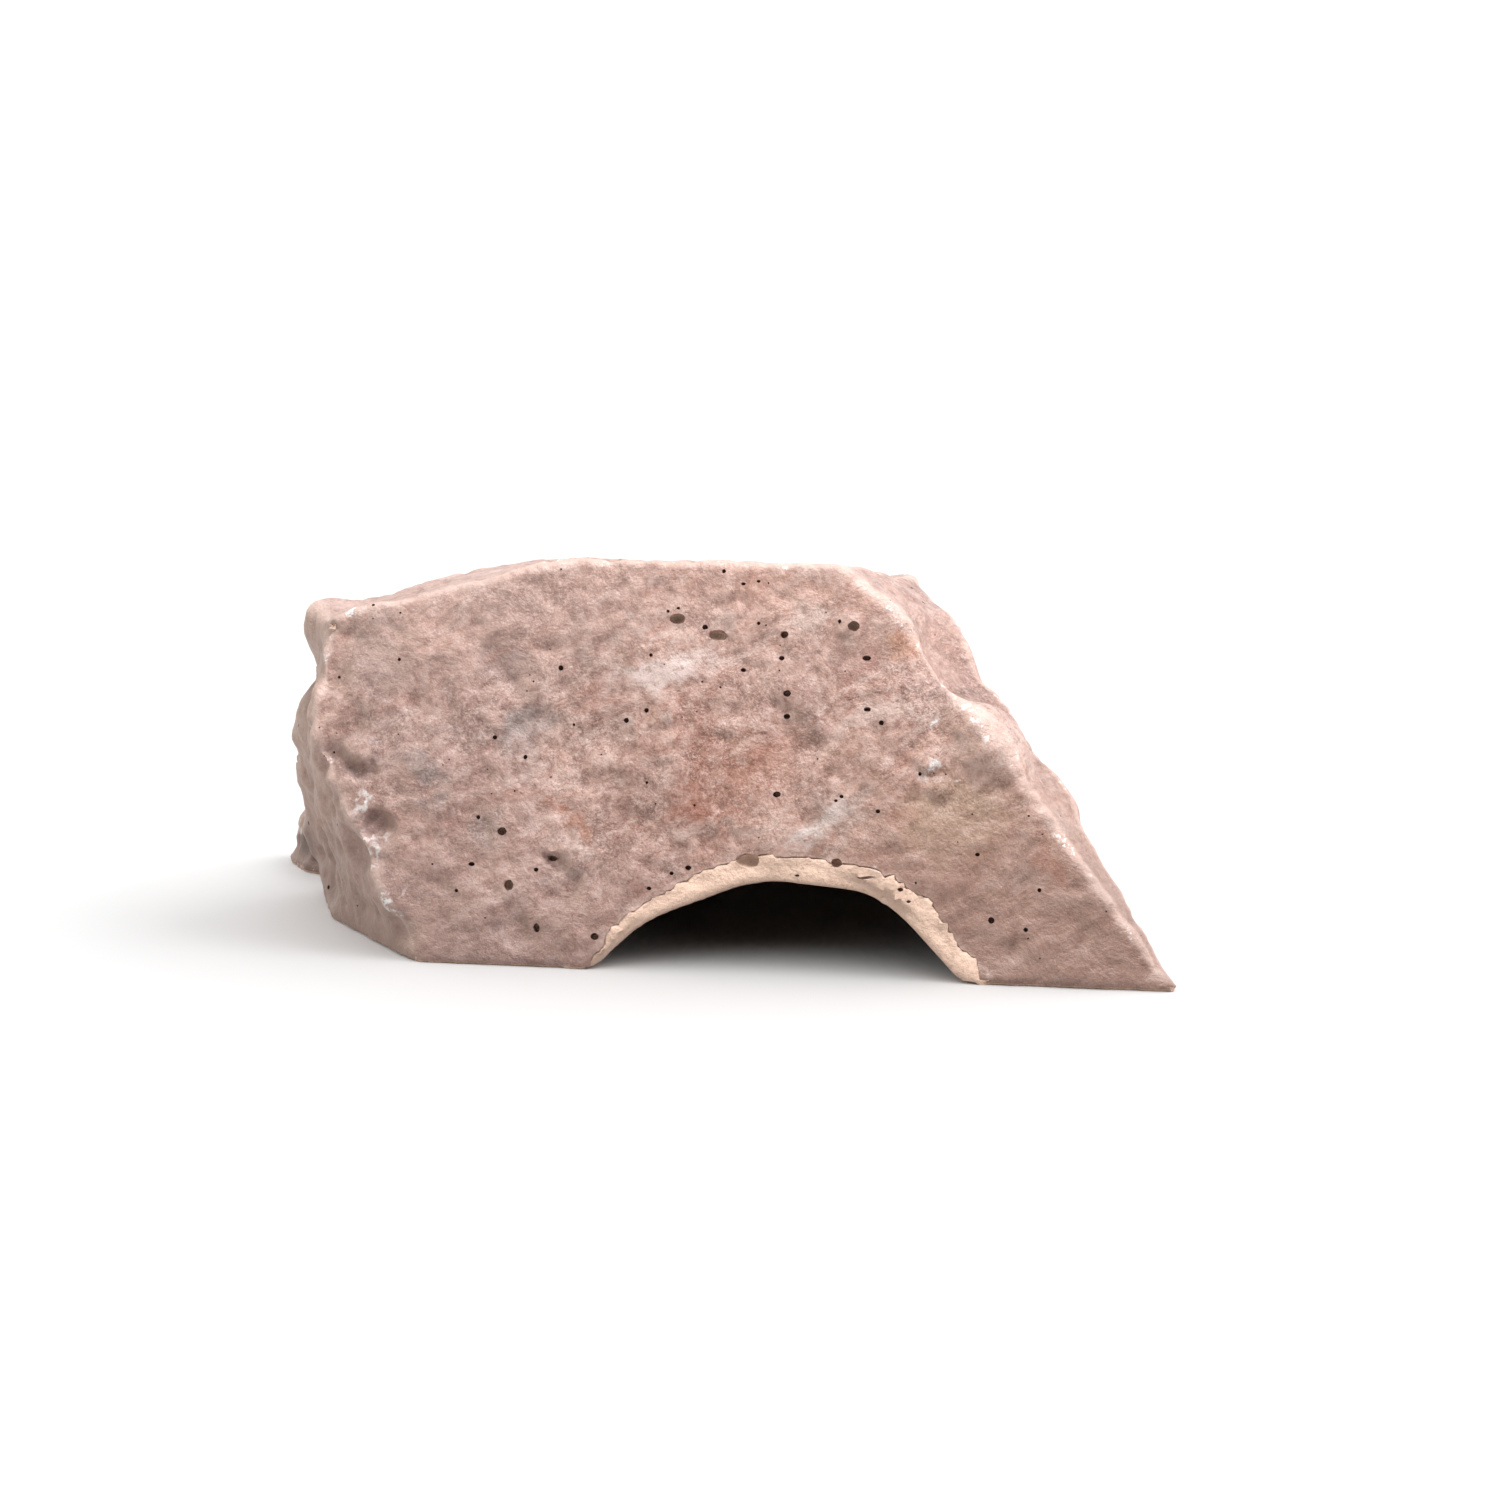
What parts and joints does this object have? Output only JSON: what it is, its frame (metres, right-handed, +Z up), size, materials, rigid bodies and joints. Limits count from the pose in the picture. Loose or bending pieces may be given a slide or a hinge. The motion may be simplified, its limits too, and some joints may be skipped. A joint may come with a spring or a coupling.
{
  "type": "resin cave ornament",
  "caption": "Hollow cleaved-rock hide for an aquarium, cast in resin, open underneath, with one low arched mouth in its front.",
  "frame": {"origin": "middle of the ornament's box, on the ground", "axes": "+X along the ornament's length, -Y towards the side with the mouth, +Z up"},
  "size_m": [0.1862, 0.1276, 0.0775],
  "materials": {
    "backing_resin": "matte, bare mineral-filled resin",
    "tinted_resin": "satin, marbled pink-brown tint"
  },
  "bodies": {
    "root": {"backing_shell": "backing_resin", "colour_coat": "tinted_resin"}
  },
  "joints": []
}
